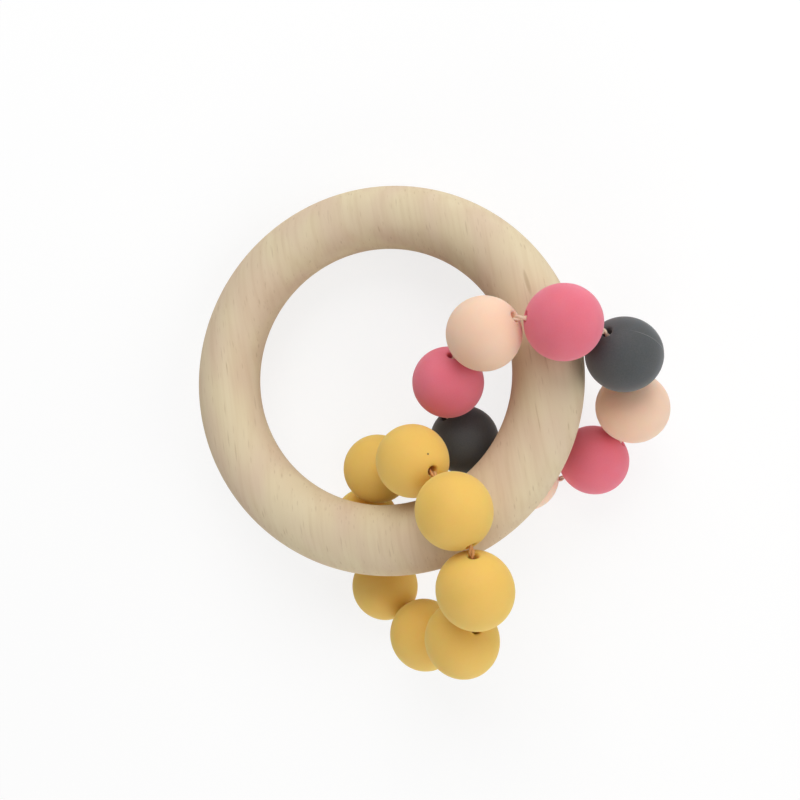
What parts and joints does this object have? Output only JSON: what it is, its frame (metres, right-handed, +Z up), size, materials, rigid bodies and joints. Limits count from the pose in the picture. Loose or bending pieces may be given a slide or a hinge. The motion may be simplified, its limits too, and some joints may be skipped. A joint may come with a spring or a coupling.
{
  "type": "teether",
  "caption": "Wooden teething ring carrying loops of round silicone beads strung on cord, which slide and swing on the ring; the ring is gripped and the beads are chewed.",
  "frame": {"origin": "on the table under the middle of the bounding box, with the teether lying as pictured", "axes": "+Z up from the table, +Y the picture's upward direction, +X its right"},
  "size_m": [0.0814, 0.0842, 0.0368],
  "materials": {
    "wood": "smooth sanded, unvarnished beech",
    "yellow_silicone": "matte silicone",
    "peach_silicone": "matte silicone",
    "pink_silicone": "matte silicone",
    "grey_silicone": "matte silicone",
    "cord": "off-white twisted nylon"
  },
  "bodies": {
    "ring": {"wooden_ring": "wood"},
    "yellow_rider": {"yellow_bead_1": "yellow_silicone"},
    "yellow_strand": {"yellow_cord": "cord", "yellow_cord_knot": "cord", "yellow_bead_6": "yellow_silicone"},
    "yellow_bead_2_body": {"yellow_bead_2": "yellow_silicone"},
    "yellow_bead_3_body": {"yellow_bead_3": "yellow_silicone"},
    "yellow_bead_4_body": {"yellow_bead_4": "yellow_silicone"},
    "yellow_bead_5_body": {"yellow_bead_5": "yellow_silicone"},
    "yellow_bead_7_body": {"yellow_bead_7": "yellow_silicone"},
    "yellow_bead_8_body": {"yellow_bead_8": "yellow_silicone"},
    "mixed_rider": {"pink_bead_1": "pink_silicone"},
    "mixed_strand": {"mixed_cord": "cord", "mixed_cord_knot": "cord", "peach_bead_2": "peach_silicone"},
    "grey_bead_1_body": {"grey_bead_1": "grey_silicone"},
    "peach_bead_1_body": {"peach_bead_1": "peach_silicone"},
    "pink_bead_2_body": {"pink_bead_2": "pink_silicone"},
    "grey_bead_2_body": {"grey_bead_2": "grey_silicone"},
    "pink_bead_3_body": {"pink_bead_3": "pink_silicone"},
    "peach_bead_3_body": {"peach_bead_3": "peach_silicone"}
  },
  "joints": [
    {"name": "yellow_travel", "type": "hinge", "parent": "ring", "child": "yellow_rider", "pos_m": [-0.00688, 0.00887, 0.01213], "axis": [-0.0677, 0.2234, 0.9724], "range_deg": [-90, 0]},
    {"name": "yellow_swing", "type": "hinge", "parent": "yellow_rider", "child": "yellow_strand", "pos_m": [0.00518, -0.01046, 0.02948], "axis": [0.4225, -0.8016, 0.4229], "range_deg": [0, 12]},
    {"name": "yellow_bead_2_spin", "type": "hinge", "parent": "yellow_strand", "child": "yellow_bead_2_body", "pos_m": [0.00791, -0.02239, 0.03082], "axis": [0.0048, -0.9776, -0.2105], "continuous": true},
    {"name": "yellow_bead_3_spin", "type": "hinge", "parent": "yellow_strand", "child": "yellow_bead_3_body", "pos_m": [0.00529, -0.0328, 0.02467], "axis": [-0.4134, -0.5986, -0.6861], "continuous": true},
    {"name": "yellow_bead_4_spin", "type": "hinge", "parent": "yellow_strand", "child": "yellow_bead_4_body", "pos_m": [-0.00162, -0.03619, 0.015], "axis": [-0.638, 0.1087, -0.7623], "continuous": true},
    {"name": "yellow_bead_5_spin", "type": "hinge", "parent": "yellow_strand", "child": "yellow_bead_5_body", "pos_m": [-0.00924, -0.03033, 0.00731], "axis": [-0.4737, 0.785, -0.3994], "continuous": true},
    {"name": "yellow_bead_7_spin", "type": "hinge", "parent": "yellow_strand", "child": "yellow_bead_7_body", "pos_m": [-0.00882, -0.00754, 0.01177], "axis": [0.4561, 0.6052, 0.6525], "continuous": true},
    {"name": "yellow_bead_8_spin", "type": "hinge", "parent": "yellow_strand", "child": "yellow_bead_8_body", "pos_m": [-0.00163, -0.0043, 0.02128], "axis": [0.6152, -0.128, 0.7779], "continuous": true},
    {"name": "mixed_travel", "type": "hinge", "parent": "ring", "child": "mixed_rider", "pos_m": [-0.00688, 0.00887, 0.01213], "axis": [-0.0677, 0.2234, 0.9724], "range_deg": [0, 85]},
    {"name": "mixed_swing", "type": "hinge", "parent": "mixed_rider", "child": "mixed_strand", "pos_m": [0.02286, 0.0173, 0.02424], "axis": [0.9673, -0.1993, -0.1569], "range_deg": [0, 35]},
    {"name": "grey_bead_1_spin", "type": "hinge", "parent": "mixed_strand", "child": "grey_bead_1_body", "pos_m": [0.03247, 0.01154, 0.01876], "axis": [0.5065, -0.6552, -0.5605], "continuous": true},
    {"name": "peach_bead_1_spin", "type": "hinge", "parent": "mixed_strand", "child": "peach_bead_1_body", "pos_m": [0.03477, 0.0019, 0.01106], "axis": [-0.1609, -0.8306, -0.5332], "continuous": true},
    {"name": "pink_bead_2_spin", "type": "hinge", "parent": "mixed_strand", "child": "pink_bead_2_body", "pos_m": [0.0287, -0.00791, 0.00628], "axis": [-0.7994, -0.5572, -0.2244], "continuous": true},
    {"name": "grey_bead_2_spin", "type": "hinge", "parent": "mixed_strand", "child": "grey_bead_2_body", "pos_m": [0.00649, -0.00317, 0.00958], "axis": [-0.5104, 0.7654, 0.3921], "continuous": true},
    {"name": "pink_bead_3_spin", "type": "hinge", "parent": "mixed_strand", "child": "pink_bead_3_body", "pos_m": [0.0044, 0.00773, 0.01543], "axis": [0.1824, 0.8198, 0.5428], "continuous": true},
    {"name": "peach_bead_3_spin", "type": "hinge", "parent": "mixed_strand", "child": "peach_bead_3_body", "pos_m": [0.01075, 0.01601, 0.02228], "axis": [0.8174, 0.4239, 0.3902], "continuous": true}
  ]
}
